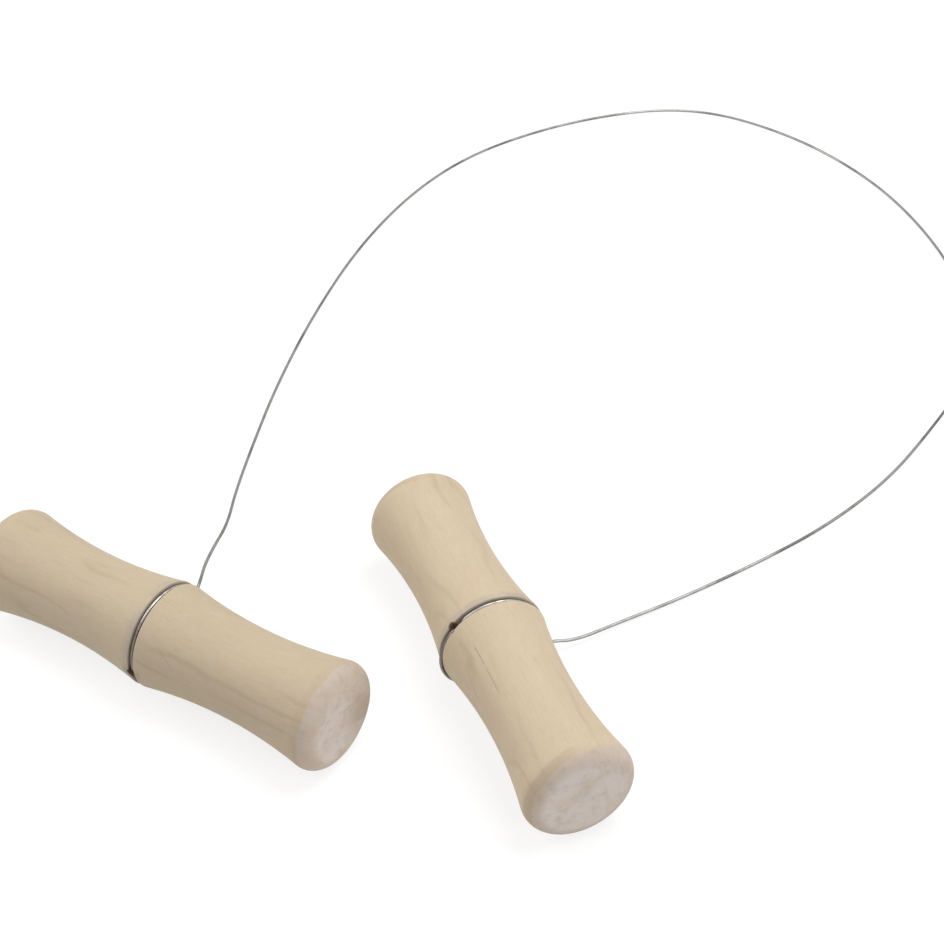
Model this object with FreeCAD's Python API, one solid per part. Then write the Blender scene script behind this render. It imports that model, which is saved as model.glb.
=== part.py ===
import FreeCAD, Part
import math
import os

# Clay cutter: two turned wooden handles and the steel wire that joins them, in millimetres, +Z up.
# It lies on the surface z = 0. The origin is on that surface, under the middle of both handles.

# Handle: a turned solid with two hollow sweeps, which meet in a ridge round its middle.
handle_length = 76.0
waist_radius = 8.2
waist_offset = 17.6      # from the handle's middle to each waist
sweep_radius = 91.0      # of the hollow sweep, seen along the handle
end_round = 3.0          # between the flared side and the end face
lip_round = 0.2          # on both edges of the groove

# Wire, and how it is wound in the groove.
wire_diameter = 0.6
seat_clearance = 0.05    # between the wire and the groove's floor
side_clearance = 0.08    # between the wire and the groove's walls, at the floor
bend_radius = 1.0        # where the wire turns out of a hole into the groove
slack_peak = 0.4         # how far through its angle a slack strand stands off most
slack_lean = 0.35        # of what a slack strand stands off, how far it leans along the handle
arc_share = 0.45         # of the shorter run, taken up by the arc at a corner of the free wire's route
exit_reach = 0.7         # from the ridge to the point that the free wire swings about
swing_clearance = 0.01   # between the ball on the free wire's end and the stub that it meets
tail_depth = 1.6         # straight length of the wire's end in its blind hole
tail_clearance = 0.3     # between the wire's end and the bottom of that hole

# Groove and drilled holes.
groove_floor_radius = 8.8
groove_flare = 0.27      # how much wider the groove is at its mouth, on each side
hole_diameter = 1.0      # drilled right through the handle, for the wire
hole_slant = 1.6         # from the groove's middle to where that hole comes out beside it
tail_hole_diameter = 0.8
tail_step = 11.0         # angle round the handle from the hole's mouth back to the blind hole
mouth_depth = 1.2        # of the worn mouth of the hole, under the ridge
mouth_shift = 0.2        # of the worn mouth's middle, away from the groove's middle

# How each handle lies: its middle, its heading from +X, the angle of the hole's open mouth above
# the handle's side, the width of that mouth at the ridge, the way that the wire is wound from
# there, the angles turned where its arcs meet, and how far a slack strand stands off, over what angle.
left = {
    "middle": (-21.68, 1.7),
    "heading": -32.8,
    "mouth_angle": 189.0,
    "mouth_diameter": 2.0,
    "wound": -1,
    "stations": (90.0, 180.0, 270.0),
    "slack": 0.0,
    "slack_angle": 90.0,
}
right = {
    "middle": (35.32, 0.0),
    "heading": -67.9,
    "mouth_angle": 142.0,
    "mouth_diameter": 2.2,
    "wound": 1,
    "stations": (26.0, 48.0, 72.0, 100.0, 139.0, 200.0, 270.0),
    "slack": 1.1,
    "slack_angle": 139.0,
}

# Free wire between the two swing points: down to the surface and round in one wide loop.
wire_route = [
    (-17.0, 13.35, 11.9), (-16.8, 17.4, 11.6), (-15.9, 23.2, 10.8), (-14.4, 32.0, 8.8),
    (-14.7, 46.0, 4.6), (-13.6, 64.0, 1.0), (-10.3, 86.5, 0.37), (-4.4, 112.3, 0.37),
    (4.4, 140.5, 0.37), (16.1, 165.1, 0.37), (30.4, 184.0, 0.37), (49.4, 197.7, 0.37),
    (68.5, 206.0, 0.37), (84.5, 209.0, 0.37), (98.6, 206.1, 0.37), (113.4, 195.9, 0.37),
    (125.3, 182.8, 0.37), (135.3, 165.7, 0.37), (142.0, 144.8, 0.37), (145.0, 124.0, 0.37),
    (144.0, 103.5, 0.37), (137.4, 86.6, 0.37), (127.0, 70.8, 0.37), (115.6, 55.1, 0.37),
    (101.2, 41.1, 0.37), (86.0, 30.2, 0.37), (69.8, 20.1, 0.4), (58.5, 13.7, 0.8),
    (50.3, 8.3, 1.6), (45.4, 7.4, 2.45),
]
middle_run = 13          # the run of the route that holds the middle of the loop

wire_radius = wire_diameter / 2
coil_radius = groove_floor_radius + seat_clearance + wire_radius
groove_floor_width = wire_diameter + 2 * side_clearance
groove_mouth_width = groove_floor_width + 2 * groove_flare


def vector(x, y, z):
    return FreeCAD.Vector(x, y, z)


def side_radius(along):
    """Radius of the hollow sweep at a distance along the handle from its middle."""
    reach = abs(along) - waist_offset
    return waist_radius + sweep_radius - math.sqrt(sweep_radius ** 2 - reach ** 2)


def rest_radius():
    """Largest radius of the flare, where its hollow sweep rounds over into the end."""
    reach = handle_length / 2 - end_round - waist_offset
    return waist_radius + sweep_radius + end_round - math.sqrt((sweep_radius + end_round) ** 2 - reach ** 2)


def swing_radius():
    """Distance from the handle's axis to the point that the free wire swings about."""
    return side_radius(groove_mouth_width / 2) + exit_reach


def around(angle, radius, along):
    """A point round the handle's axis, which is X here: the angle is above its +Y side."""
    turn = math.radians(angle)
    return vector(along, radius * math.cos(turn), radius * math.sin(turn))


def corner_arc(start, corner, end):
    """The arc that leaves start towards the corner and reaches end from it."""
    weight = start.distanceToPoint(end) / (2 * start.distanceToPoint(corner))
    middle = (start + corner * (2 * weight) + end) * (0.5 / (1 + weight))
    return Part.Arc(start, middle, end).toShape()


def line(start, end):
    return Part.LineSegment(start, end).toShape()


def biarc(start, start_way, end, end_way):
    """Two arcs that join smoothly, from start to end, each along its given way."""
    span = end - start
    ways = start_way + end_way
    spread = 2 * (1 - start_way.dot(end_way))
    reach = (math.sqrt(span.dot(ways) ** 2 + spread * span.dot(span)) - span.dot(ways)) / spread
    first = start + start_way * reach
    second = end - end_way * reach
    joint = (first + second) * 0.5
    return [corner_arc(start, first, joint), corner_arc(joint, second, end)]


def tube(edges):
    """Round wire along a path of tangent edges."""
    path = Part.Wire(edges)
    start = path.OrderedEdges[0]
    way = start.tangentAt(start.FirstParameter)
    ring = Part.Wire([Part.Circle(path.OrderedVertexes[0].Point, way, wire_radius).toShape()])
    return Part.Solid(path.makePipeShell([ring], True, False))


def ball_end(centre, way):
    """Half ball that closes a tube: the tube ends at the centre, going the given way."""
    return Part.makeSphere(wire_radius, centre, way, 0, 90, 360)


# Handle


def turned_body():
    """Handle without its holes, along X and centred on the origin."""
    half = handle_length / 2
    floor = groove_floor_width / 2
    mouth = groove_mouth_width / 2
    outline = [line(vector(-half, 0, 0), vector(-half, side_radius(half), 0))]
    outline.append(sweep_edge(-half, -mouth))
    outline.append(line(vector(-mouth, side_radius(mouth), 0), vector(-floor, groove_floor_radius, 0)))
    outline.append(line(vector(-floor, groove_floor_radius, 0), vector(floor, groove_floor_radius, 0)))
    outline.append(line(vector(floor, groove_floor_radius, 0), vector(mouth, side_radius(mouth), 0)))
    outline.append(sweep_edge(mouth, half))
    outline.append(line(vector(half, side_radius(half), 0), vector(half, 0, 0)))
    outline.append(line(vector(half, 0, 0), vector(-half, 0, 0)))
    body = Part.Face(Part.Wire(outline)).revolve(vector(0, 0, 0), vector(1, 0, 0), 360)
    body = body.makeFillet(end_round, rims_at(body, half))
    return body.makeFillet(lip_round, rims_at(body, mouth))


def sweep_edge(first, last):
    middle = math.copysign(waist_offset, first + last)
    ends = [vector(along, side_radius(along), 0) for along in (first, middle, last)]
    return Part.Arc(*ends).toShape()


def rims_at(body, along):
    """Both circular edges at a distance from the handle's middle."""
    found = []
    for edge in body.Edges:
        box = edge.BoundBox
        if box.XLength < 1e-6 and abs(abs(box.XMin) - along) < 1e-6:
            found.append(edge)
    return found


def drilled(body, lie):
    """The hole through the handle, with its worn mouth, and the blind hole for the wire's end."""
    rim = side_radius(groove_mouth_width / 2)
    _, corner, _ = hole_bend(lie)
    inward = hole_way(lie)
    far = corner + inward * (3 * rim)
    body = body.cut(Part.makeCylinder(hole_diameter / 2, 4 * rim, far, -inward))
    mouth = around(lie["mouth_angle"], rim, -mouth_shift)
    outward = around(lie["mouth_angle"], 1, 0)
    body = body.cut(Part.makeCone(lie["mouth_diameter"] / 2, hole_diameter / 2, mouth_depth, mouth, -outward))
    body = body.cut(throat(lie["mouth_angle"], lie["wound"], hole_diameter))
    outward = around(tail_angle(lie), 1, 0)
    bottom = around(tail_angle(lie), bend_foot() - tail_depth - tail_clearance, 0)
    body = body.cut(Part.makeCylinder(tail_hole_diameter / 2, rim, bottom, outward))
    return body.cut(throat(tail_angle(lie), -lie["wound"], tail_hole_diameter))


def throat(angle, toward, width):
    """Wood taken out where the wire turns into a hole; it leaves the hole's edge rounded."""
    space = Part.makeBox(width, bend_radius, bend_radius, vector(-width / 2, 0, bend_foot()))
    edge_radius = bend_radius - wire_radius - seat_clearance
    edge_middle = vector(-width, bend_radius, bend_foot())
    space = space.cut(Part.makeCylinder(edge_radius, 2 * width, edge_middle, vector(1, 0, 0)))
    if toward > 0:
        space = space.mirror(vector(0, 0, 0), vector(0, 1, 0))
    space.rotate(vector(0, 0, 0), vector(1, 0, 0), angle - 90)
    return space


# Winding


def bend_angle():
    """Angle round the handle that the bend between a hole and the winding takes up."""
    return math.degrees(math.asin(bend_radius / (coil_radius - bend_radius)))


def bend_foot():
    """Distance from the handle's axis to where the straight wire in the blind hole starts to bend."""
    return math.sqrt((coil_radius - bend_radius) ** 2 - bend_radius ** 2)


def bend_reach():
    """From either end of the bend to the corner that it rounds."""
    return bend_radius * math.tan(math.radians((90 + bend_angle()) / 2))


def tail_angle(lie):
    return lie["mouth_angle"] - lie["wound"] * tail_step


def wound_angle():
    """Angle that the wire is wound through, up to the bend into the blind hole."""
    return 360 - tail_step - bend_angle()


def exit_point(lie):
    """Where the free wire starts, outside the hole's far end; it swings about this point."""
    return around(lie["mouth_angle"] + 180, swing_radius(), -hole_slant)


def hole_way(lie):
    """The way of the wire in the slanted hole, from the groove to the far side."""
    corner = around(lie["mouth_angle"], bend_foot() + bend_reach(), 0)
    return (exit_point(lie) - corner).normalize()


def hole_bend(lie):
    """The bend out of the slanted hole: where it starts in the hole, its corner and its end."""
    corner = around(lie["mouth_angle"], bend_foot() + bend_reach(), 0)
    in_groove = around(lie["mouth_angle"] + lie["wound"] * bend_angle(), coil_radius, 0)
    return corner + hole_way(lie) * bend_reach(), corner, in_groove


def tail_bend(lie):
    """The bend into the blind hole: where it starts in the groove, its corner and its end."""
    in_groove = around(tail_angle(lie) - lie["wound"] * bend_angle(), coil_radius, 0)
    corner = around(tail_angle(lie), bend_foot() + bend_reach(), 0)
    return in_groove, corner, around(tail_angle(lie), bend_foot(), 0)


def slack_at(lie, turned):
    """How far the strand stands off the groove, and how fast that grows with the angle turned."""
    spread = lie["slack_angle"] - bend_angle()
    share = min(max((turned - bend_angle()) / spread, 0.0), 1.0)
    fall = 2 / slack_peak - 2
    highest = slack_peak ** 2 * (1 - slack_peak) ** fall
    height = lie["slack"] * share ** 2 * (1 - share) ** fall / highest
    rise = lie["slack"] * share * (1 - share) ** (fall - 1) * (2 - (2 + fall) * share) / highest
    return height, math.degrees(rise / spread)


def strand_at(lie, turned):
    """Point on the wound strand's centre line, and its way there."""
    slack, rise = slack_at(lie, turned)
    angle = lie["mouth_angle"] + lie["wound"] * turned
    radius = coil_radius + slack
    ahead = around(angle + 90 * lie["wound"], radius, 0) + around(angle, rise, slack_lean * rise)
    return around(angle, radius, slack_lean * slack), ahead.normalize()


def winding_path(lie):
    """From the stub outside the exit, through the handle, round the groove and into the blind hole."""
    stub = exit_point(lie) - hole_way(lie) * (wire_radius + swing_clearance)
    in_hole, corner, in_groove = hole_bend(lie)
    edges = [line(stub, in_hole), corner_arc(in_hole, corner, in_groove)]
    turned = bend_angle()
    for station in [*lie["stations"], wound_angle()]:
        start, start_way = strand_at(lie, turned)
        end, end_way = strand_at(lie, station)
        edges += biarc(start, start_way, end, end_way)
        turned = station
    in_groove, corner, in_hole = tail_bend(lie)
    edges.append(corner_arc(in_groove, corner, in_hole))
    edges.append(line(in_hole, in_hole - around(tail_angle(lie), tail_depth, 0)))
    return edges


def least_gap(edges):
    """Least gap of the tube to itself, between places further apart along it than a turn of a bend."""
    points = []
    for edge in edges:
        points += edge.discretize(Distance=wire_radius)[1:]
    lengths = [0.0]
    for before, after in zip(points, points[1:]):
        lengths.append(lengths[-1] + before.distanceToPoint(after))
    apart = 2 * math.pi * bend_radius
    least = handle_length
    for i, point in enumerate(points):
        for j in range(i + 1, len(points)):
            if lengths[j] - lengths[i] > apart:
                least = min(least, point.distanceToPoint(points[j]))
    return least - wire_diameter


# Free wire


def laid(lie):
    """The move that takes a handle from its own axes to where it lies."""
    middle = vector(lie["middle"][0], lie["middle"][1], rest_radius())
    return FreeCAD.Placement(middle, FreeCAD.Rotation(vector(0, 0, 1), lie["heading"]))


def swing_point(lie):
    return laid(lie).multVec(exit_point(lie))


def rounded_route(points):
    """Straight runs joined by tangent arcs, and the place of each run in the list of edges."""
    edges = []
    radii = []
    run_at = []
    here = points[0]
    for before, corner, after in zip(points, points[1:], points[2:]):
        arriving = (corner - before).normalize()
        leaving = (after - corner).normalize()
        reach = arc_share * min(corner.distanceToPoint(before), corner.distanceToPoint(after))
        run_at.append(len(edges))
        edges.append(line(here, corner - arriving * reach))
        here = corner + leaving * reach
        edges.append(corner_arc(corner - arriving * reach, corner, here))
        radii.append(reach / math.tan(arriving.getAngle(leaving) / 2))
    run_at.append(len(edges))
    edges.append(line(here, points[-1]))
    print("arc radii of the free wire:", [round(radius, 1) for radius in radii])
    return edges, run_at


def wire_halves():
    """The free wire's two halves, left and right, which meet at the middle of the loop."""
    points = [swing_point(left)] + [vector(*point) for point in wire_route] + [swing_point(right)]
    edges, run_at = rounded_route(points)
    split_at = run_at[middle_run]
    split_run = edges[split_at]
    start = split_run.Vertexes[0].Point
    end = split_run.Vertexes[-1].Point
    middle = (start + end) * 0.5
    onward = (end - start).normalize()
    beyond = middle + onward * (wire_radius + swing_clearance)
    left_edges = edges[:split_at] + [line(start, middle)]
    right_edges = [line(beyond, end)] + edges[split_at + 1:]
    left_out = (points[0] - points[1]).normalize()
    right_out = (points[-1] - points[-2]).normalize()
    left_half = tube(left_edges).fuse(ball_end(points[0], left_out)).fuse(ball_end(middle, onward))
    right_half = tube(right_edges).fuse(ball_end(points[-1], right_out))
    for name, solid, path in (("left", left_half, left_edges), ("right", right_half, right_edges)):
        length = sum(edge.Length for edge in path)
        section = math.pi * wire_radius ** 2
        print(name, "half: length", round(length, 2), "volume", round(solid.Volume, 3),
              "section x length", round(section * length, 3))
    print("middle of the loop:", [round(value, 3) for value in middle])
    return left_half, right_half


def save(name, shape):
    shape.exportStep("parts/" + name + ".step")
    print(name, "volume", round(shape.Volume, 2), "valid", shape.isValid(), "solids", len(shape.Solids))


def main():
    os.makedirs("parts", exist_ok=True)
    for side, lie in (("left", left), ("right", right)):
        handle = drilled(turned_body(), lie)
        path = winding_path(lie)
        winding = tube(path)
        print(side, "winding: least gap to itself", round(least_gap(path), 3), "volume",
              round(winding.Volume, 3), "section x length",
              round(math.pi * wire_radius ** 2 * sum(edge.Length for edge in path), 3))
        handle.Placement = laid(lie)
        winding.Placement = laid(lie)
        save("handle_" + side, handle)
        save("wire_wrap_" + side, winding)
        print(side, "swing point:", [round(value, 3) for value in swing_point(lie)])
    left_half, right_half = wire_halves()
    save("cutting_wire_left", left_half.removeSplitter())
    save("cutting_wire_right", right_half.removeSplitter())


main()
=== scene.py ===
import math

import bmesh
import bpy
from mathutils import Matrix, Vector


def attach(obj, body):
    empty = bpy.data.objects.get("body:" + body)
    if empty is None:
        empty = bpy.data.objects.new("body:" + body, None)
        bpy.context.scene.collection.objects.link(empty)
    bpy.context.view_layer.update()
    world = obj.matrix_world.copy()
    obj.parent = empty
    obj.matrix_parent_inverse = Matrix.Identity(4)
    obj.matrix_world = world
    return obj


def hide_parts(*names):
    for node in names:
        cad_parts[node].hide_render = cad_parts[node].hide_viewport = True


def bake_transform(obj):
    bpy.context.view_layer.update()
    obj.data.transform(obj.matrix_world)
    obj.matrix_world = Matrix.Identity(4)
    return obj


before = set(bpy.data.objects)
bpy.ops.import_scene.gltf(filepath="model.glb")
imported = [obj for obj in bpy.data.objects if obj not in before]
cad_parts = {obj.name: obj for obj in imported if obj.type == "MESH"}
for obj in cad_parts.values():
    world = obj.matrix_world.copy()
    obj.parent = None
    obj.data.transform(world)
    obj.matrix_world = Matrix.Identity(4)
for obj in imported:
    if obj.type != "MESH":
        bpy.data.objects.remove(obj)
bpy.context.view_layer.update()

bl_info = {
    "name": "Clay cutter",
    "version": (1, 0, 0),
    "blender": (4, 5, 0),
    "location": "View3D > Sidebar > Clay cutter",
    "description": "Two turned wooden handles and the steel wire between them, on a pale table",
    "category": "Add Mesh",
}

MILLIMETRE = 0.001      # in metres

# How each handle lies and looks. Its middle and its slack are in metres, its looks are in
# millimetres, and angles are in degrees above its +Y side. Its X runs along it.
HANDLES = {
    "left": {
        "body": "left_grip",
        "middle": Vector((-0.02168, 0.0017, 0.009825)),
        "heading": -32.8,               # from +X
        "mouth_angle": 189.0,           # where the hole's open mouth is
        "wound": -1,                    # the way that the wire is wound from there
        "slack": 0.0,                   # how far a slack strand stands off the groove
        "slack_angle": 90.0,            # how far from the mouth it is slack
        "tone": 0.87,                   # how bright the sides are
        "log_place": (0.0, 0.0, 0.0),   # where in the log it was cut
        "end_middle": -0.7,             # between the places where the paler ends start
        "end_start": 36.2,              # from there to each of them
        "end_tilt": 0.0,                # how much further they start at the rim's angle
        "rim_shade_angle": 150.0,             # where the rim is brownest, on its shaded side, where painted shade deepens it
        "rim_brown_and_shade": 0.2,               # how brown it is there, the wood's own brown and painted shade together, from 0 to 1
        "end_stain": ((6.4, -1.1), 7.5, 0.7),   # its place across, its reach and its share
        "mouth_shade": 2.4,              # how far the painted shade round the mouth reaches
        "shaded_angle": 195.0,           # where the wound wire has painted shade and painted reflection of the wood
        # Each from one place along and angle to another, with its depth from 0 to 1.
        "scratches": (((5.0, 143.0), (8.5, 160.0), 0.25),),
    },
    "right": {
        "body": "right_grip",
        "middle": Vector((0.03532, 0.0, 0.009825)),
        "heading": -67.9,
        "mouth_angle": 142.0,
        "wound": 1,
        "slack": 0.00092,
        "slack_angle": 139.0,
        "tone": 0.97,
        "log_place": (130.0, 9.0, -17.0),
        "end_middle": 0.0,
        "end_start": 36.0,
        "end_tilt": 1.3,
        "rim_shade_angle": 165.0,
        "rim_brown_and_shade": 0.45,
        "end_stain": ((0.5, 1.5), 4.0, 0.2),
        "mouth_shade": 1.3,
        "shaded_angle": 195.0,
        "scratches": (((6.0, 131.4), (16.6, 135.2), 0.42), ((7.4, 154.0), (13.2, 170.0), 0.22)),
    },
}

# Route of the free wire from the left handle's hole to the right one's, in metres.
WIRE_ROUTE = [
    (-0.017411, 0.011278, 0.011466),
    (-0.017, 0.01335, 0.0119), (-0.0168, 0.0174, 0.0116), (-0.0159, 0.0232, 0.0108),
    (-0.0144, 0.032, 0.0088), (-0.0147, 0.046, 0.0046), (-0.0136, 0.064, 0.001),
    (-0.0103, 0.0865, 0.00037), (-0.0044, 0.1123, 0.00037), (0.0044, 0.1405, 0.00037),
    (0.0161, 0.1651, 0.00037), (0.0304, 0.184, 0.00037), (0.0494, 0.1977, 0.00037),
    (0.0685, 0.206, 0.00037), (0.0845, 0.209, 0.00037), (0.0986, 0.2061, 0.00037),
    (0.1134, 0.1959, 0.00037), (0.1253, 0.1828, 0.00037), (0.1353, 0.1657, 0.00037),
    (0.142, 0.1448, 0.00037), (0.145, 0.124, 0.00037), (0.144, 0.1035, 0.00037),
    (0.1374, 0.0866, 0.00037), (0.127, 0.0708, 0.00037), (0.1156, 0.0551, 0.00037),
    (0.1012, 0.0411, 0.00037), (0.086, 0.0302, 0.00037), (0.0698, 0.0201, 0.0004),
    (0.0585, 0.0137, 0.0008), (0.0503, 0.0083, 0.0016), (0.0454, 0.0074, 0.00245),
    (0.042379, 0.004593, 0.003365),
]

# Winding: its route through the handle, round the groove and into the blind hole.
HOLE_SHARES = (0.0, 0.15, 0.5, 0.85, 0.94, 1.0)     # where points lie along the slanted hole
WINDING_STEP = 15.0                     # between points in the groove, in degrees
WINDING_END = 335.0                     # how far round they go
SLACK_SCALE = 29.0                      # brings the slack's highest place up to its full height
TAIL_STEP = 11.0                        # from the mouth back to the blind hole, in degrees
TAIL_DEPTHS = (0.0, 0.0012, 0.0030)     # of the last points under the winding, in metres
MERGE_SHARE = 0.001                     # of the wire's diameter: nearer points are merged

# Camera, table, sky and lamps, in metres and degrees.
CAMERA_PLACE = (0.03166, -0.21972, 0.23147)
CAMERA_FALL = 39.83         # how far it looks down
SENSOR_WIDTH = 36.0         # in millimetres
NEAREST_SEEN = 0.01
TABLE_REACH = 3.0           # from its middle to its edges
TABLE_GLOW = 0.80           # of the table as it is seen, with its shadows
TABLE_SHADE = 0.25          # how much the lamps add to that
SKY_SEEN = 1.0
SKY_LIGHT = 0.40            # what the sky lights the cutter with
LAMP_AIM = (0.02, 0.0, 0.0)
LAMPS = {                   # place, width and power
    "key": ((0.22, 0.10, 0.58), 0.45, 2.15),
    "fill": ((-0.42, 0.16, 0.30), 0.40, 1.1),
    "front": ((0.45, -0.40, 0.22), 0.40, 0.75),
}

# Noises: scale for each millimetre, along each axis or along all, detail, roughness and distortion.
NOISES = {
    "sway": ((0.028, 0.07, 0.07), 2.0, 0.5, 0.0),
    "ripple": ((0.11, 0.5, 0.5), 3.0, 0.5, 0.0),
    "ring_fade": ((0.05, 0.19, 0.19), 2.0, 0.5, 0.0),
    "fibres": ((0.14, 4.2, 4.2), 6.0, 0.6, 0.0),
    "dashes": ((0.55, 5.0, 5.0), 1.0, 0.5, 0.0),
    "blotches": ((0.06, 0.14, 0.14), 4.0, 0.6, 0.0),
    "bloom": ((0.35, 0.5, 0.5), 5.0, 0.62, 0.0),
    "mottle": ((0.3, 0.5, 0.6), 5.0, 0.6, 0.0),
    "end_patches": ((0.1, 0.16, 0.22), 3.0, 0.5, 0.0),
    "specks": ((1.0, 5.0, 5.0), 2.0, 0.6, 0.0),
    "strokes": ((0.1, 0.75, 4.2), 2.0, 0.5, 0.6),
    "waver": ((1.1, 1.1, 1.1), 3.0, 0.6, 0.0),
    "tarnish": (0.09, 4.0, 0.6, 0.0),
    "spots": (0.9, 3.0, 0.6, 0.0),
    "lines": (5.0, 3.0, 0.6, 0.0),
}
NOISE_MIDDLE = 0.5      # of the values that a noise gives

# Growth rings: a wave that goes with the distance from the log's pith.
PITH_PLACE = (-34.0, -21.0)     # across the handle, in millimetres
RING_TURN = 2.1                 # of the wave for each millimetre, in radians
SWAY_TURN = 26.0                # how far the slow sway shifts the wave at most, in radians
RIPPLE_TURN = 3.0               # how far the finer ripple shifts it at most
RING_SHARPNESS = 7.0            # the wave's power, which makes its crests narrow

# Where a noise turns into a mask: from none of it to all of it.
RING_SPAN = (0.42, 0.66)
FLECK_SPAN = (0.63, 0.74)
PORE_SPAN = (0.58, 0.72)
STROKE_SPAN = (0.63, 0.70)
PATCH_SPAN = (0.42, 0.68)
SPOT_SPAN = (0.46, 0.62)
STAIN_SPAN = (0.2, 0.5)
GREY_BAND_BLOTCH_SPAN = (0.25, 0.5)
GREY_BAND_BLOOM_SPAN = (0.2, 0.55)
SCRATCH_SPAN = (0.2, 0.55)

# Places on a handle in millimetres, each pair from where a mark starts to where it is full.
RIM_RADIUS = 9.0                # of the end, in the middle of its rounding
RIM_WIDTH = 1.7                 # along the handle, up to where its end starts
RIM_SOFTNESS = 0.3
RIM_SIDE = (0.0, 7.0)           # towards the rim's angle, from the axis
END_FADE = (-0.3, 0.5)          # along the handle, from where its end starts
END_WANDER = 1.6                # of the line where it starts
STAIN_CORE = 0.25               # of the stain's reach
END_MARKS = (6.5, 2.0)          # from the axis
GREY_BAND = (-1.9, -0.3, 0.7)  # greyer band beside the groove's far side: start, end and softness
# Painted shade in the groove, darker with depth.
GROOVE_SIDE = (0.75, 0.6)       # from the groove's middle
GROOVE_SHADE_DEPTH = (9.7, 9.2)       # from the axis, as the next depths are
# Painted shade round the hole's mouth and inside the holes.
MOUTH_SHIFT = 0.2               # of the hole's mouth, away from the groove's middle
MOUTH_RADIUS = 9.3              # of that mouth, from the axis
MOUTH_CORE = 0.7                # of its painted shade, all round it
MOUTH_DEPTH = (9.85, 9.45)
HOLE_SIDE = (2.6, 2.3)          # from the groove's middle
HOLE_DEPTH = (8.7, 8.5)
SCRATCH_WIDTH = (0.028, 0.004)  # to each side, in radians round the handle
SCRATCH_WAVER = 0.02            # of its line, in radians round the handle
SCRATCH_SOFTNESS = 0.9          # of its ends

# Surfaces: the least roughness and what a pattern adds to it, and heights against the fibres'.
WOOD_ROUGHNESS = (0.5, 0.2)
STEEL_ROUGHNESS = (0.2, 0.22)
BLOOM_HEIGHT = 0.6
SCRATCH_HEIGHT = 1.5

# Coats of colour, in order. Each has the mask or pattern that it follows, its share from 0 to 1,
# its colour, and the values of the pattern from which it shows and from which it is full.
SIDE_COATS = (
    ("Blotches", 0.6, "rose_wood", 0.38, 0.66),
    ("Bloom", 0.28, "end_wood", 0.5, 0.8),
    ("Rings", 0.36, "dark_wood"),
    ("Fibres", 0.16, "dark_wood", 0.42, 0.72),
    ("Flecks", 0.24, "dark_wood"),
)
END_COATS = (
    ("Patches", 0.5, "rose_wood", 0.44, 0.64),
    ("Stain", 1.0, "rim_wood"),
    ("Mottle", 0.42, "rubbed_wood", 0.46, 0.74),
    ("Rings", 0.15, "dark_wood"),
    ("Pores", 0.17, "dark_wood"),
    ("Radius", 0.46, "rim_wood", 6.4, 8.6),
    ("Marks", 0.5, "soiled_wood"),
)
WEAR_AND_SHADE_COATS = (
    ("Smear", 0.5, "rubbed_wood"),
    # The next three coats are painted shade: in the groove, round the hole's mouth and inside the
    # holes.
    ("Groove", 0.9, "soiled_wood"),
    ("Mouth", 1.0, "hole_wood"),
    ("Hole", 1.0, "hole_wood"),
    ("Scratches", 1.0, "soiled_wood"),
)
# Painted shade and painted reflection of the wood on the wound wire's shaded side.
SHADED_SIDE_COAT = ("Dirty side", 0.75, "soiled_steel", 0.0, 6.0)
# Painted shade: the wire darker towards its edges as seen, for the dark reflections along its
# sides.
EDGE_SHADE_COAT = ("Facing", 0.8, "dull_steel", 0.3, 0.9)
PATCH_DULLNESS = 0.45       # added to the steel's own where a patch is


# Sizes and colours


class CutterSizes(bpy.types.PropertyGroup):
    wire_diameter: bpy.props.FloatProperty(
        name="Wire diameter", description="Thickness of the cutting wire",
        default=0.0006, min=0.0003, max=0.0012, unit="LENGTH", precision=5)
    seat_radius: bpy.props.FloatProperty(
        name="Winding radius", description="From the handle's axis to the middle of the wound wire",
        default=0.00915, min=0.0088, max=0.0100, unit="LENGTH", precision=5)
    exit_radius: bpy.props.FloatProperty(
        name="Exit radius", description="From the handle's axis to where the free wire starts",
        default=0.01049, min=0.0098, max=0.0112, unit="LENGTH", precision=5)
    hole_slant: bpy.props.FloatProperty(
        name="Hole slant",
        description="From the groove's middle to where the wire comes out beside it",
        default=0.0016, min=0.0, max=0.0030, unit="LENGTH", precision=5)
    slack_lean: bpy.props.FloatProperty(
        name="Slack lean",
        description="How far a slack strand leans along the handle, for its stand-off",
        default=0.5, min=0.0, max=1.0)
    lens: bpy.props.FloatProperty(
        name="Lens", description="Focal length of the camera on a 36 mm sensor, in millimetres",
        default=68.0, min=20.0, max=200.0)


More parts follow.
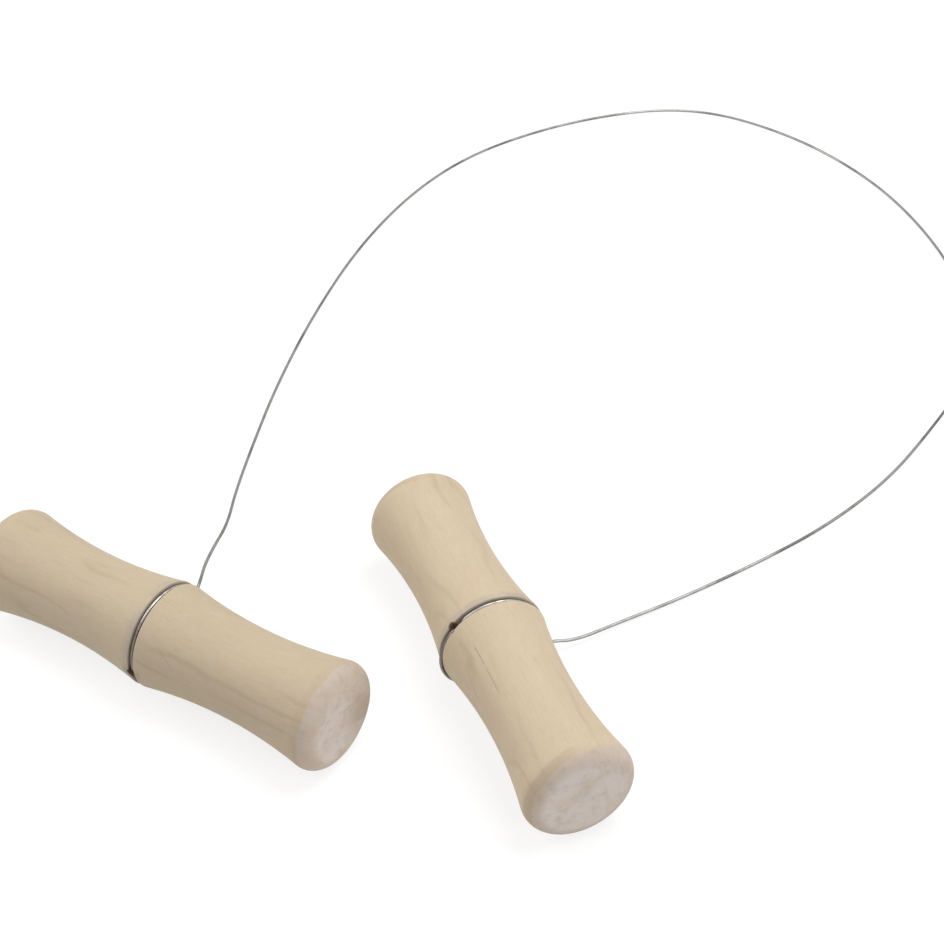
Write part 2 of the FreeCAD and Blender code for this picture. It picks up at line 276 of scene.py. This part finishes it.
class CutterColours(bpy.types.PropertyGroup):
    side_wood: bpy.props.FloatVectorProperty(
        name="Side wood", description="Pale wood along the sides of the handles",
        subtype="COLOR", size=3, min=0.0, max=1.0, default=(0.655, 0.54, 0.375))
    dark_wood: bpy.props.FloatVectorProperty(
        name="Grain", description="Darker lines and flecks of the grain",
        subtype="COLOR", size=3, min=0.0, max=1.0, default=(0.46, 0.34, 0.21))
    end_wood: bpy.props.FloatVectorProperty(
        name="End grain", description="Greyer wood of the sawn ends",
        subtype="COLOR", size=3, min=0.0, max=1.0, default=(0.70, 0.62, 0.56))
    rose_wood: bpy.props.FloatVectorProperty(
        name="Rose wood", description="Warmer blotches along the sides and on the ends",
        subtype="COLOR", size=3, min=0.0, max=1.0, default=(0.645, 0.505, 0.37))
    # Also the painted shade on the rims' shaded side.
    rim_wood: bpy.props.FloatVectorProperty(
        name="Rim", description="Browner wood of the rims and of the stains on the ends",
        subtype="COLOR", size=3, min=0.0, max=1.0, default=(0.46, 0.35, 0.26))
    # Also a greyer band beside the groove's far side.
    rubbed_wood: bpy.props.FloatVectorProperty(
        name="Rubbed wood", description="Grey smudges beside the groove and on the ends",
        subtype="COLOR", size=3, min=0.0, max=1.0, default=(0.40, 0.355, 0.33))
    # Also painted shade in the groove, darker with depth.
    soiled_wood: bpy.props.FloatVectorProperty(
        name="Soiled wood", description="Wood darkened by the wire in the groove, and scratches",
        subtype="COLOR", size=3, min=0.0, max=1.0, default=(0.26, 0.21, 0.16))
    # Painted shade inside the holes and round their mouths.
    hole_wood: bpy.props.FloatVectorProperty(
        name="Hole", description="Wood inside the drilled holes",
        subtype="COLOR", size=3, min=0.0, max=1.0, default=(0.09, 0.045, 0.02))
    bright_steel: bpy.props.FloatVectorProperty(
        name="Bright steel", description="Clean wire",
        subtype="COLOR", size=3, min=0.0, max=1.0, default=(0.56, 0.55, 0.54))
    # Also painted shade along the wire's edges.
    dull_steel: bpy.props.FloatVectorProperty(
        name="Dull steel", description="Tarnished or bruised wire",
        subtype="COLOR", size=3, min=0.0, max=1.0, default=(0.15, 0.15, 0.145))
    # Also painted shade and painted reflection of the wood on the wound wire's shaded side.
    soiled_steel: bpy.props.FloatVectorProperty(
        name="Soiled steel", description="Brown dirt on the wire",
        subtype="COLOR", size=3, min=0.0, max=1.0, default=(0.16, 0.125, 0.10))
    table: bpy.props.FloatVectorProperty(
        name="Table", description="Surface that the cutter lies on, as it throws light back",
        subtype="COLOR", size=3, min=0.0, max=1.0, default=(0.72, 0.72, 0.72))


# Node helpers


def add_node(tree, kind, **settings):
    node = tree.nodes.new(kind)
    for name, value in settings.items():
        setattr(node, name, value)
    return node


def feed(tree, socket, value):
    """Links a socket to another, or sets its value."""
    if isinstance(value, bpy.types.NodeSocket):
        tree.links.new(value, socket)
    elif hasattr(value, "__len__") and len(value) == 3 and socket.type == "RGBA":
        socket.default_value = (*value, 1.0)
    else:
        socket.default_value = value


def calc(tree, operation, *values, clamp=False):
    node = add_node(tree, "ShaderNodeMath", operation=operation, use_clamp=clamp)
    for socket, value in zip(node.inputs, values):
        feed(tree, socket, value)
    return node.outputs[0]


def times(tree, *values):
    """The product of two or more values."""
    product = values[0]
    for value in values[1:]:
        product = calc(tree, "MULTIPLY", product, value)
    return product


def ramp(tree, value, low, high):
    """0 up to low and 1 from high, smooth in between, and the other way round if low is above."""
    node = add_node(tree, "ShaderNodeMapRange", interpolation_type="SMOOTHSTEP")
    feed(tree, node.inputs["Value"], value)
    node.inputs["From Min"].default_value = min(low, high)
    node.inputs["From Max"].default_value = max(low, high)
    node.inputs["To Min"].default_value = 0.0 if low < high else 1.0
    node.inputs["To Max"].default_value = 1.0 if low < high else 0.0
    return node.outputs["Result"]


def band(tree, value, start, end, softness):
    """1 between start and end, and 0 outside."""
    rise = ramp(tree, value, start - softness, start + softness)
    return times(tree, rise, ramp(tree, value, end + softness, end - softness))


def mix_colour(tree, share, first, second):
    node = add_node(tree, "ShaderNodeMix", data_type="RGBA")
    feed(tree, node.inputs["Factor"], share)
    feed(tree, node.inputs["A"], first)
    feed(tree, node.inputs["B"], second)
    return node.outputs["Result"]


def coated(tree, colour, masks, coats, colours):
    """A colour with coats of others over it."""
    for name, share, coat, *span in coats:
        mask = ramp(tree, masks[name], *span) if span else masks[name]
        colour = mix_colour(tree, times(tree, mask, share), colour, getattr(colours, coat))
    return colour


def toned(tree, colour, tone):
    """A colour made darker or brighter by a factor."""
    node = add_node(tree, "ShaderNodeMix", data_type="RGBA", blend_type="MULTIPLY")
    node.inputs["Factor"].default_value = 1.0
    feed(tree, node.inputs["A"], colour)
    feed(tree, node.inputs["B"], (tone, tone, tone))
    return node.outputs["Result"]


def stretched(tree, vector, scale):
    """Coordinates with their own scale along each axis."""
    node = add_node(tree, "ShaderNodeVectorMath", operation="MULTIPLY")
    feed(tree, node.inputs[0], vector)
    node.inputs[1].default_value = scale
    return node.outputs[0]


def moved(tree, vector, offset):
    """Coordinates moved by an offset."""
    node = add_node(tree, "ShaderNodeVectorMath", operation="ADD")
    feed(tree, node.inputs[0], vector)
    node.inputs[1].default_value = offset
    return node.outputs[0]


def size_of(tree, vector):
    node = add_node(tree, "ShaderNodeVectorMath", operation="LENGTH")
    feed(tree, node.inputs[0], vector)
    return node.outputs["Value"]


def split(tree, vector):
    """The X, Y and Z of coordinates."""
    node = add_node(tree, "ShaderNodeSeparateXYZ")
    feed(tree, node.inputs[0], vector)
    return node.outputs["X"], node.outputs["Y"], node.outputs["Z"]


def noise(tree, spot, name):
    """One of the noises, from coordinates in millimetres."""
    scale, detail, roughness, distortion = NOISES[name]
    if hasattr(scale, "__len__"):
        spot, scale = stretched(tree, spot, scale), 1.0
    node = add_node(tree, "ShaderNodeTexNoise")
    feed(tree, node.inputs["Vector"], spot)
    node.inputs["Scale"].default_value = scale
    node.inputs["Detail"].default_value = detail
    node.inputs["Roughness"].default_value = roughness
    node.inputs["Distortion"].default_value = distortion
    return node.outputs["Fac"]


def roughen(tree, shader, pattern, least, added):
    """Gives a shader its roughness: the least, and what a pattern adds."""
    feed(tree, shader.inputs["Roughness"], calc(tree, "MULTIPLY_ADD", pattern, added, least))


def bump(tree, shader, height, strength, distance):
    """Gives a shader a bump; the distance is in metres."""
    node = add_node(tree, "ShaderNodeBump")
    node.inputs["Strength"].default_value = strength
    node.inputs["Distance"].default_value = distance
    feed(tree, node.inputs["Height"], height)
    feed(tree, shader.inputs["Normal"], node.outputs["Normal"])


# Patterns that materials share, each set in a node group


def pattern_group(name, make_patterns):
    """A node group from coordinates in millimetres to patterns, built at its first use."""
    group = bpy.data.node_groups.get(name)
    if group:
        return group
    group = bpy.data.node_groups.new(name, "ShaderNodeTree")
    group.interface.new_socket("Vector", in_out="INPUT", socket_type="NodeSocketVector")
    given = add_node(group, "NodeGroupInput")
    patterns = make_patterns(group, given.outputs["Vector"])
    for label in patterns:
        group.interface.new_socket(label, in_out="OUTPUT", socket_type="NodeSocketFloat")
    made = add_node(group, "NodeGroupOutput")
    for label, value in patterns.items():
        feed(group, made.inputs[label], value)
    return group


def patterns_from(tree, group, spot):
    """The patterns of a node group, by name."""
    node = add_node(tree, "ShaderNodeGroup", node_tree=group)
    feed(tree, node.inputs["Vector"], spot)
    return {socket.name: socket for socket in node.outputs}


def straight_grain(tree, spot):
    """Grain of pale close-grained wood that runs along X."""
    _, y, z = split(tree, spot)
    across = calc(tree, "POWER", calc(tree, "ADD", y, -PITH_PLACE[0]), 2.0)
    upward = calc(tree, "POWER", calc(tree, "ADD", z, -PITH_PLACE[1]), 2.0)
    from_pith = calc(tree, "SQRT", calc(tree, "ADD", across, upward))
    turn = calc(tree, "MULTIPLY_ADD", noise(tree, spot, "sway"), SWAY_TURN,
                calc(tree, "MULTIPLY", from_pith, RING_TURN))
    turn = calc(tree, "MULTIPLY_ADD", noise(tree, spot, "ripple"), RIPPLE_TURN, turn)
    wave = calc(tree, "MULTIPLY_ADD", calc(tree, "SINE", turn), 0.5, 0.5)
    fade = ramp(tree, noise(tree, spot, "ring_fade"), *RING_SPAN)
    return {
        "Rings": times(tree, calc(tree, "POWER", wave, RING_SHARPNESS), fade),
        "Fibres": noise(tree, spot, "fibres"),
        "Flecks": ramp(tree, noise(tree, spot, "dashes"), *FLECK_SPAN),
        "Blotches": noise(tree, spot, "blotches"),
        "Bloom": noise(tree, spot, "bloom"),
    }


def end_grain(tree, spot):
    """Mottling, pores and short scratches of a sawn and sanded end, seen along X."""
    return {
        "Mottle": noise(tree, spot, "mottle"),
        "Patches": noise(tree, spot, "end_patches"),
        "Pores": ramp(tree, noise(tree, spot, "specks"), *PORE_SPAN),
        "Strokes": ramp(tree, noise(tree, spot, "strokes"), *STROKE_SPAN),
    }


def wire_tarnish(tree, spot):
    """Dull patches, small spots and fine lines of a steel wire."""
    return {
        "Patches": ramp(tree, noise(tree, spot, "tarnish"), *PATCH_SPAN),
        "Spots": ramp(tree, noise(tree, spot, "spots"), *SPOT_SPAN),
        "Lines": noise(tree, spot, "lines"),
    }


# Materials


def new_material(name):
    material = bpy.data.materials.new(name)
    material.use_nodes = True
    material.node_tree.nodes.clear()
    shader = add_node(material.node_tree, "ShaderNodeBsdfPrincipled")
    output = add_node(material.node_tree, "ShaderNodeOutputMaterial")
    material.node_tree.links.new(shader.outputs["BSDF"], output.inputs["Surface"])
    return material, material.node_tree, shader


def handle_spot(tree, lie):
    """Coordinates in millimetres in the handle's own frame: X along it, Y and Z across."""
    coordinates = add_node(tree, "ShaderNodeTexCoord")
    mapping = add_node(tree, "ShaderNodeMapping", vector_type="TEXTURE")
    feed(tree, mapping.inputs["Vector"], coordinates.outputs["Object"])
    mapping.inputs["Location"].default_value = lie["middle"]
    mapping.inputs["Rotation"].default_value = (0.0, 0.0, math.radians(lie["heading"]))
    mapping.inputs["Scale"].default_value = (MILLIMETRE,) * 3
    return mapping.outputs["Vector"]


def towards(tree, spot, angle):
    """How far a spot lies from the handle's axis towards an angle round it."""
    turn = math.radians(angle)
    node = add_node(tree, "ShaderNodeVectorMath", operation="DOT_PRODUCT")
    feed(tree, node.inputs[0], spot)
    node.inputs[1].default_value = (0.0, math.cos(turn), math.sin(turn))
    return node.outputs["Value"]


def scratched(tree, spot, scratches):
    """Fine scratches on the side, each on a line from one place and angle to another."""
    along, y, z = split(tree, spot)
    turn = calc(tree, "ARCTAN2", z, y)
    waver = noise(tree, spot, "waver")
    total = 0.0
    for (start, first_angle), (end, last_angle), depth in scratches:
        slope = math.radians(last_angle - first_angle) / (end - start)
        line = calc(tree, "MULTIPLY_ADD", along, slope, math.radians(first_angle) - slope * start)
        line = calc(tree, "MULTIPLY_ADD", waver, SCRATCH_WAVER, line)
        aside = calc(tree, "ABSOLUTE", calc(tree, "SUBTRACT", turn, line))
        mark = times(tree, ramp(tree, aside, *SCRATCH_WIDTH),
                     band(tree, along, start, end, SCRATCH_SOFTNESS),
                     ramp(tree, waver, *SCRATCH_SPAN), depth)
        total = calc(tree, "ADD", total, mark)
    return total


def end_colour(tree, grain, ends, across, stain, colours):
    """Sanded end grain: greyer, mottled, with a stain, pores, and marks near its middle."""
    (stain_y, stain_z), reach, share = stain
    radius = size_of(tree, across)
    from_stain = size_of(tree, moved(tree, across, (0.0, -stain_y, -stain_z)))
    stained = times(tree, ramp(tree, from_stain, reach, STAIN_CORE * reach),
                    ramp(tree, ends["Patches"], *STAIN_SPAN), share)
    marks = times(tree, ends["Strokes"], ramp(tree, radius, *END_MARKS))
    masks = {**grain, **ends, "Radius": radius, "Stain": stained, "Marks": marks}
    return coated(tree, colours.end_wood, masks, END_COATS, colours)


def end_masks(tree, along, across, grain, lie):
    """Masks of the browner rims, brownest on their shaded side as painted shade, and of the ends,
    which start on a line that wanders.
    """
    edge = calc(tree, "ABSOLUTE", calc(tree, "SUBTRACT", along, lie["end_middle"]))
    wander = calc(tree, "SUBTRACT", grain["Blotches"], NOISE_MIDDLE)
    edge = calc(tree, "MULTIPLY_ADD", wander, END_WANDER, edge)
    rim_side = towards(tree, across, lie["rim_shade_angle"])
    edge = calc(tree, "MULTIPLY_ADD", rim_side, -lie["end_tilt"] / RIM_RADIUS, edge)
    start = lie["end_start"]
    # The rim's brown is strongest towards its shaded side: partly the wood's own browner rim,
    # partly painted shade.
    rim = times(tree, band(tree, edge, start - RIM_WIDTH, start, RIM_SOFTNESS),
                ramp(tree, rim_side, *RIM_SIDE), lie["rim_brown_and_shade"])
    return rim, ramp(tree, edge, start + END_FADE[0], start + END_FADE[1])


def wear_and_shade_masks(tree, spot, along, radius, grain, lie):
    """Masks of the greyer band beside the groove, of the painted shade in the groove, round the
    hole's mouth and inside the holes, and of the scratches.
    """
    reach = calc(tree, "ABSOLUTE", along)
    mouth_turn = math.radians(lie["mouth_angle"])
    to_mouth = (MOUTH_SHIFT, -MOUTH_RADIUS * math.cos(mouth_turn),
                -MOUTH_RADIUS * math.sin(mouth_turn))
    from_mouth = size_of(tree, moved(tree, spot, to_mouth))
    return {
        # A greyer band beside the groove's far side, in blotches.
        "Smear": times(tree, band(tree, along, *GREY_BAND),
                       ramp(tree, grain["Blotches"], *GREY_BAND_BLOTCH_SPAN),
                       ramp(tree, grain["Bloom"], *GREY_BAND_BLOOM_SPAN)),
        # Painted shade, darker with depth into the groove.
        "Groove": times(tree, ramp(tree, reach, *GROOVE_SIDE), ramp(tree, radius, *GROOVE_SHADE_DEPTH)),
        # Painted shade round the hole's mouth.
        "Mouth": times(tree, ramp(tree, from_mouth, lie["mouth_shade"], MOUTH_CORE),
                       ramp(tree, radius, *MOUTH_DEPTH)),
        # Painted shade inside the holes.
        "Hole": times(tree, ramp(tree, reach, *HOLE_SIDE), ramp(tree, radius, *HOLE_DEPTH)),
        "Scratches": scratched(tree, spot, lie["scratches"]),
    }


def turned_wood(name, lie):
    """Bare turned wood: straight grain on the sides, greyer ends, painted shade in the groove and
    holes.
    """
    colours = bpy.context.scene.cutter_colours
    material, tree, shader = new_material(name)
    spot = handle_spot(tree, lie)
    along, _, _ = split(tree, spot)
    across = stretched(tree, spot, (0.0, 1.0, 1.0))
    log_spot = moved(tree, spot, lie["log_place"])
    grain = patterns_from(tree, pattern_group("straight_grain", straight_grain), log_spot)
    ends = patterns_from(tree, pattern_group("end_grain", end_grain), log_spot)

    wood = toned(tree, coated(tree, colours.side_wood, grain, SIDE_COATS, colours), lie["tone"])
    rim, end = end_masks(tree, along, across, grain, lie)
    wood = mix_colour(tree, rim, wood, colours.rim_wood)
    wood = mix_colour(tree, end, wood,
                      end_colour(tree, grain, ends, across, lie["end_stain"], colours))
    wear_and_shade = wear_and_shade_masks(tree, spot, along, size_of(tree, across), grain, lie)
    feed(tree, shader.inputs["Base Color"], coated(tree, wood, wear_and_shade, WEAR_AND_SHADE_COATS, colours))
    shader.inputs["Specular IOR Level"].default_value = 0.3
    roughen(tree, shader, grain["Fibres"], *WOOD_ROUGHNESS)
    height = calc(tree, "MULTIPLY_ADD", grain["Bloom"], BLOOM_HEIGHT, grain["Fibres"])
    scratch_height = calc(tree, "MULTIPLY", wear_and_shade["Scratches"], SCRATCH_HEIGHT)
    height = calc(tree, "SUBTRACT", height, scratch_height)
    bump(tree, shader, height, strength=0.4, distance=0.00006)
    return material


def drawn_steel(name, dullness, spot_share, lie=None):
    """Thin drawn steel wire with dull patches, spots and fine lines, painted shade along its edges,
    and, where it is wound, painted shade and painted reflection of the wood on its shaded side.
    """
    colours = bpy.context.scene.cutter_colours
    material, tree, shader = new_material(name)
    if lie:
        spot = handle_spot(tree, lie)
    else:
        coordinates = add_node(tree, "ShaderNodeTexCoord")
        spot = stretched(tree, coordinates.outputs["Object"], (1.0 / MILLIMETRE,) * 3)
    tarnish = patterns_from(tree, pattern_group("wire_tarnish", wire_tarnish), spot)
    # Painted shade along the wire's edges, by how squarely they face the view.
    weight = add_node(tree, "ShaderNodeLayerWeight")
    weight.inputs["Blend"].default_value = 0.5
    masks = {**tarnish, "Facing": weight.outputs["Facing"]}
    coats = [("Spots", spot_share, "soiled_steel"), EDGE_SHADE_COAT]
    if lie:
        # Painted shade and painted reflection of the wood on the wound wire's shaded side.
        masks["Dirty side"] = towards(tree, spot, lie["shaded_angle"])
        coats.insert(1, SHADED_SIDE_COAT)
    dull = calc(tree, "MULTIPLY_ADD", tarnish["Patches"], PATCH_DULLNESS, dullness, clamp=True)
    steel = mix_colour(tree, dull, colours.bright_steel, colours.dull_steel)
    feed(tree, shader.inputs["Base Color"], coated(tree, steel, masks, coats, colours))
    shader.inputs["Metallic"].default_value = 1.0
    roughen(tree, shader, tarnish["Lines"], *STEEL_ROUGHNESS)
    bump(tree, shader, tarnish["Lines"], strength=0.2, distance=0.00002)
    return material


# Wire


def around_handle(lie, angle, radius, along):
    """A point round a handle's axis, in the scene: the angle is above the handle's +Y side."""
    turn = math.radians(angle)
    local = Vector((along, radius * math.cos(turn), radius * math.sin(turn)))
    return lie["middle"] + Matrix.Rotation(math.radians(lie["heading"]), 3, "Z") @ local


def winding_route(lie, sizes):
    """From the free wire's end, through the handle, round the groove and into the blind hole."""
    seat = sizes.seat_radius
    mouth = lie["mouth_angle"]
    outside = around_handle(lie, mouth + 180.0, sizes.exit_radius, -sizes.hole_slant)
    corner = around_handle(lie, mouth, seat, 0.0)
    points = [outside.lerp(corner, share) for share in HOLE_SHARES]
    # The spline runs inside its control points, and touches the seat halfway between two of them.
    control_radius = seat / math.cos(math.radians(WINDING_STEP / 2))
    turned = WINDING_STEP
    while turned < WINDING_END:
        share = min(turned / lie["slack_angle"], 1.0)
        slack = lie["slack"] * share ** 2 * (1.0 - share) ** 3 * SLACK_SCALE
        angle = mouth + lie["wound"] * turned
        points.append(around_handle(lie, angle, control_radius + slack, sizes.slack_lean * slack))
        turned += WINDING_STEP
    tail = mouth - lie["wound"] * TAIL_STEP
    points += [around_handle(lie, tail, seat - depth, 0.0) for depth in TAIL_DEPTHS]
    return points


def smooth_line(name, points, steps):
    """A smooth open spline whose control points are the route's points."""
    curve = bpy.data.curves.new(name, "CURVE")
    curve.dimensions = "3D"
    curve.resolution_u = steps
    spline = curve.splines.new("NURBS")
    spline.points.add(len(points) - 1)
    for control, point in zip(spline.points, points):
        control.co = (*point, 1.0)
    spline.order_u = 3
    spline.use_endpoint_u = True
    return bpy.data.objects.new(name, curve)


def line_points(line):
    """The points that a spline without thickness runs through, in order."""
    mesh = bpy.data.meshes.new_from_object(line)
    points = [vertex.co.copy() for vertex in mesh.vertices]
    bpy.data.meshes.remove(mesh)
    return points


def round_over(bm, rim, centre, outward, radius, rings=5):
    """Closes a tube's open rim with half a ball."""
    for ring in range(1, rings + 1):
        grown = bmesh.ops.extrude_edge_only(bm, edges=rim)["geom"]
        verts = [item for item in grown if isinstance(item, bmesh.types.BMVert)]
        rim = [item for item in grown if isinstance(item, bmesh.types.BMEdge)
               and all(vert in verts for vert in item.verts)]
        before = math.cos(math.radians(90.0 * (ring - 1) / rings))
        turn = math.radians(90.0 * ring / rings)
        for vert in verts:
            offset = vert.co - centre
            offset -= outward * offset.dot(outward)
            offset *= math.cos(turn) / before
            vert.co = centre + offset + outward * radius * math.sin(turn)
    bmesh.ops.pointmerge(bm, verts=verts, merge_co=centre + outward * radius)


def wire_piece(name, line, diameter):
    """A round wire with balled ends along a spline, as a mesh, and the points it runs through."""
    path = line_points(line)
    line.data.bevel_depth = diameter / 2
    line.data.bevel_resolution = 3
    mesh = bpy.data.meshes.new_from_object(line)
    mesh.name = name
    bpy.data.objects.remove(line)
    bm = bmesh.new()
    bm.from_mesh(mesh)
    bmesh.ops.remove_doubles(bm, verts=bm.verts, dist=diameter * MERGE_SHARE)
    for centre, inward in ((path[0], path[1]), (path[-1], path[-2])):
        rim = [edge for edge in bm.edges if edge.is_boundary
               and all((vert.co - centre).length < diameter for vert in edge.verts)]
        round_over(bm, rim, centre, (centre - inward).normalized(), diameter / 2)
    bmesh.ops.recalc_face_normals(bm, faces=bm.faces)
    bm.to_mesh(mesh)
    bm.free()
    mesh.shade_smooth()
    piece = bpy.data.objects.new(name, mesh)
    bpy.context.collection.objects.link(piece)
    return piece, path


# Operators


class CUTTER_OT_place_camera(bpy.types.Operator):
    """Places the camera in front of the cutter, looking down at it"""
    bl_idname = "clay_cutter.place_camera"
    bl_label = "Place the camera"

    def execute(self, context):
        data = bpy.data.cameras.new("camera")
        data.lens = context.scene.cutter_sizes.lens
        data.sensor_width = SENSOR_WIDTH
        data.clip_start = NEAREST_SEEN
        camera = bpy.data.objects.new("camera", data)
        camera.location = CAMERA_PLACE
        camera.rotation_euler = (math.radians(90.0 - CAMERA_FALL), 0.0, 0.0)
        context.collection.objects.link(camera)
        context.scene.camera = camera
        return {"FINISHED"}


class CUTTER_OT_lay_wire(bpy.types.Operator):
    """Lays the free wire in its loop and winds its ends round the handles"""
    bl_idname = "clay_cutter.lay_wire"
    bl_label = "Lay and wind the wire"

    def execute(self, context):
        sizes = context.scene.cutter_sizes
        for side, lie in HANDLES.items():
            line = smooth_line("winding_line", winding_route(lie, sizes), steps=6)
            winding, _ = wire_piece("winding_" + side, line, sizes.wire_diameter)
            steel = drawn_steel("wound_steel_" + side, dullness=0.2, spot_share=0.6, lie=lie)
            winding.data.materials.append(steel)
            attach(winding, lie["body"])
            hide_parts("wire_wrap_" + side)
        line = smooth_line("loop_line", [Vector(point) for point in WIRE_ROUTE], steps=20)
        loop, path = wire_piece("cutting_wire", line, sizes.wire_diameter)
        loop.data.materials.append(drawn_steel("loop_steel", dullness=0.58, spot_share=0.15))
        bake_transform(loop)
        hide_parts("cutting_wire_left", "cutting_wire_right")
        return {"FINISHED"}


class CUTTER_OT_finish_handles(bpy.types.Operator):
    """Gives both turned handles their wood"""
    bl_idname = "clay_cutter.finish_handles"
    bl_label = "Finish the handles"

    def execute(self, context):
        for side, lie in HANDLES.items():
            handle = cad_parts["handle_" + side]
            wood = turned_wood("turned_wood_" + side, lie)
            for slot in handle.material_slots:
                slot.material = wood
        return {"FINISHED"}


class CUTTER_OT_set_stage(bpy.types.Operator):
    """Sets the pale table, the sky and three soft lamps"""
    bl_idname = "clay_cutter.set_stage"
    bl_label = "Set the stage"

    def execute(self, context):
        self.lay_table(context)
        self.light_sky(context)
        for name, (place, width, power) in LAMPS.items():
            self.hang_lamp(context, name, place, width, power)
        return {"FINISHED"}

    def seen_or_mirrored(self, tree):
        """1 for what the camera or a reflection sees, and 0 for the light on the object."""
        path = add_node(tree, "ShaderNodeLightPath")
        return calc(tree, "MAXIMUM", path.outputs["Is Camera Ray"], path.outputs["Is Glossy Ray"])

    def lay_table(self, context):
        bm = bmesh.new()
        bmesh.ops.create_grid(bm, x_segments=1, y_segments=1, size=TABLE_REACH)
        mesh = bpy.data.meshes.new("table")
        bm.to_mesh(mesh)
        bm.free()
        table = bpy.data.objects.new("table", mesh)
        context.collection.objects.link(table)
        mesh.materials.append(self.white_table(context.scene.cutter_colours.table))

    def white_table(self, colour):
        """A table that looks white under its shadows, and throws light back as its colour does."""
        material = bpy.data.materials.new("white_table")
        material.use_nodes = True
        tree = material.node_tree
        tree.nodes.clear()
        plain = add_node(tree, "ShaderNodeBsdfDiffuse")
        feed(tree, plain.inputs["Color"], colour)
        shaded = add_node(tree, "ShaderNodeBsdfDiffuse")
        feed(tree, shaded.inputs["Color"], (TABLE_SHADE,) * 3)
        glow = add_node(tree, "ShaderNodeEmission")
        glow.inputs["Strength"].default_value = TABLE_GLOW
        seen = add_node(tree, "ShaderNodeAddShader")
        tree.links.new(shaded.outputs[0], seen.inputs[0])
        tree.links.new(glow.outputs[0], seen.inputs[1])
        choice = add_node(tree, "ShaderNodeMixShader")
        feed(tree, choice.inputs[0], self.seen_or_mirrored(tree))
        tree.links.new(plain.outputs[0], choice.inputs[1])
        tree.links.new(seen.outputs[0], choice.inputs[2])
        output = add_node(tree, "ShaderNodeOutputMaterial")
        tree.links.new(choice.outputs[0], output.inputs["Surface"])
        return material

    def light_sky(self, context):
        world = bpy.data.worlds.new("studio")
        world.use_nodes = True
        tree = world.node_tree
        tree.nodes.clear()
        sky = add_node(tree, "ShaderNodeBackground")
        feed(tree, sky.inputs["Color"], (1.0, 1.0, 1.0))
        strength = calc(tree, "MULTIPLY_ADD", self.seen_or_mirrored(tree),
                        SKY_SEEN - SKY_LIGHT, SKY_LIGHT)
        feed(tree, sky.inputs["Strength"], strength)
        output = add_node(tree, "ShaderNodeOutputWorld")
        tree.links.new(sky.outputs[0], output.inputs["Surface"])
        context.scene.world = world
        context.scene.view_settings.view_transform = "Standard"

    def hang_lamp(self, context, name, place, width, power):
        data = bpy.data.lights.new(name, "AREA")
        data.shape = "DISK"
        data.size = width
        data.energy = power
        lamp = bpy.data.objects.new(name, data)
        lamp.location = place
        aim = Vector(LAMP_AIM) - Vector(place)
        lamp.rotation_euler = aim.to_track_quat("-Z", "Y").to_euler()
        context.collection.objects.link(lamp)


class CUTTER_PT_panel(bpy.types.Panel):
    """Steps that build the clay cutter, with its sizes and colours"""
    bl_idname = "CUTTER_PT_panel"
    bl_label = "Clay cutter"
    bl_space_type = "VIEW_3D"
    bl_region_type = "UI"
    bl_category = "Clay cutter"

    def draw(self, context):
        for step in STEPS:
            self.layout.operator(step.bl_idname)
        for values in (context.scene.cutter_sizes, context.scene.cutter_colours):
            box = self.layout.box()
            for name in values.__annotations__:
                box.prop(values, name)


STEPS = (CUTTER_OT_place_camera, CUTTER_OT_lay_wire, CUTTER_OT_finish_handles, CUTTER_OT_set_stage)
CLASSES = (CutterSizes, CutterColours, *STEPS, CUTTER_PT_panel)


def register():
    for part in CLASSES:
        bpy.utils.register_class(part)
    bpy.types.Scene.cutter_sizes = bpy.props.PointerProperty(type=CutterSizes)
    bpy.types.Scene.cutter_colours = bpy.props.PointerProperty(type=CutterColours)


def unregister():
    del bpy.types.Scene.cutter_colours
    del bpy.types.Scene.cutter_sizes
    for part in reversed(CLASSES):
        bpy.utils.unregister_class(part)


def main():
    register()
    bpy.ops.clay_cutter.place_camera()
    bpy.ops.clay_cutter.lay_wire()
    bpy.ops.clay_cutter.finish_handles()
    bpy.ops.clay_cutter.set_stage()


if __name__ == "__main__":
    main()
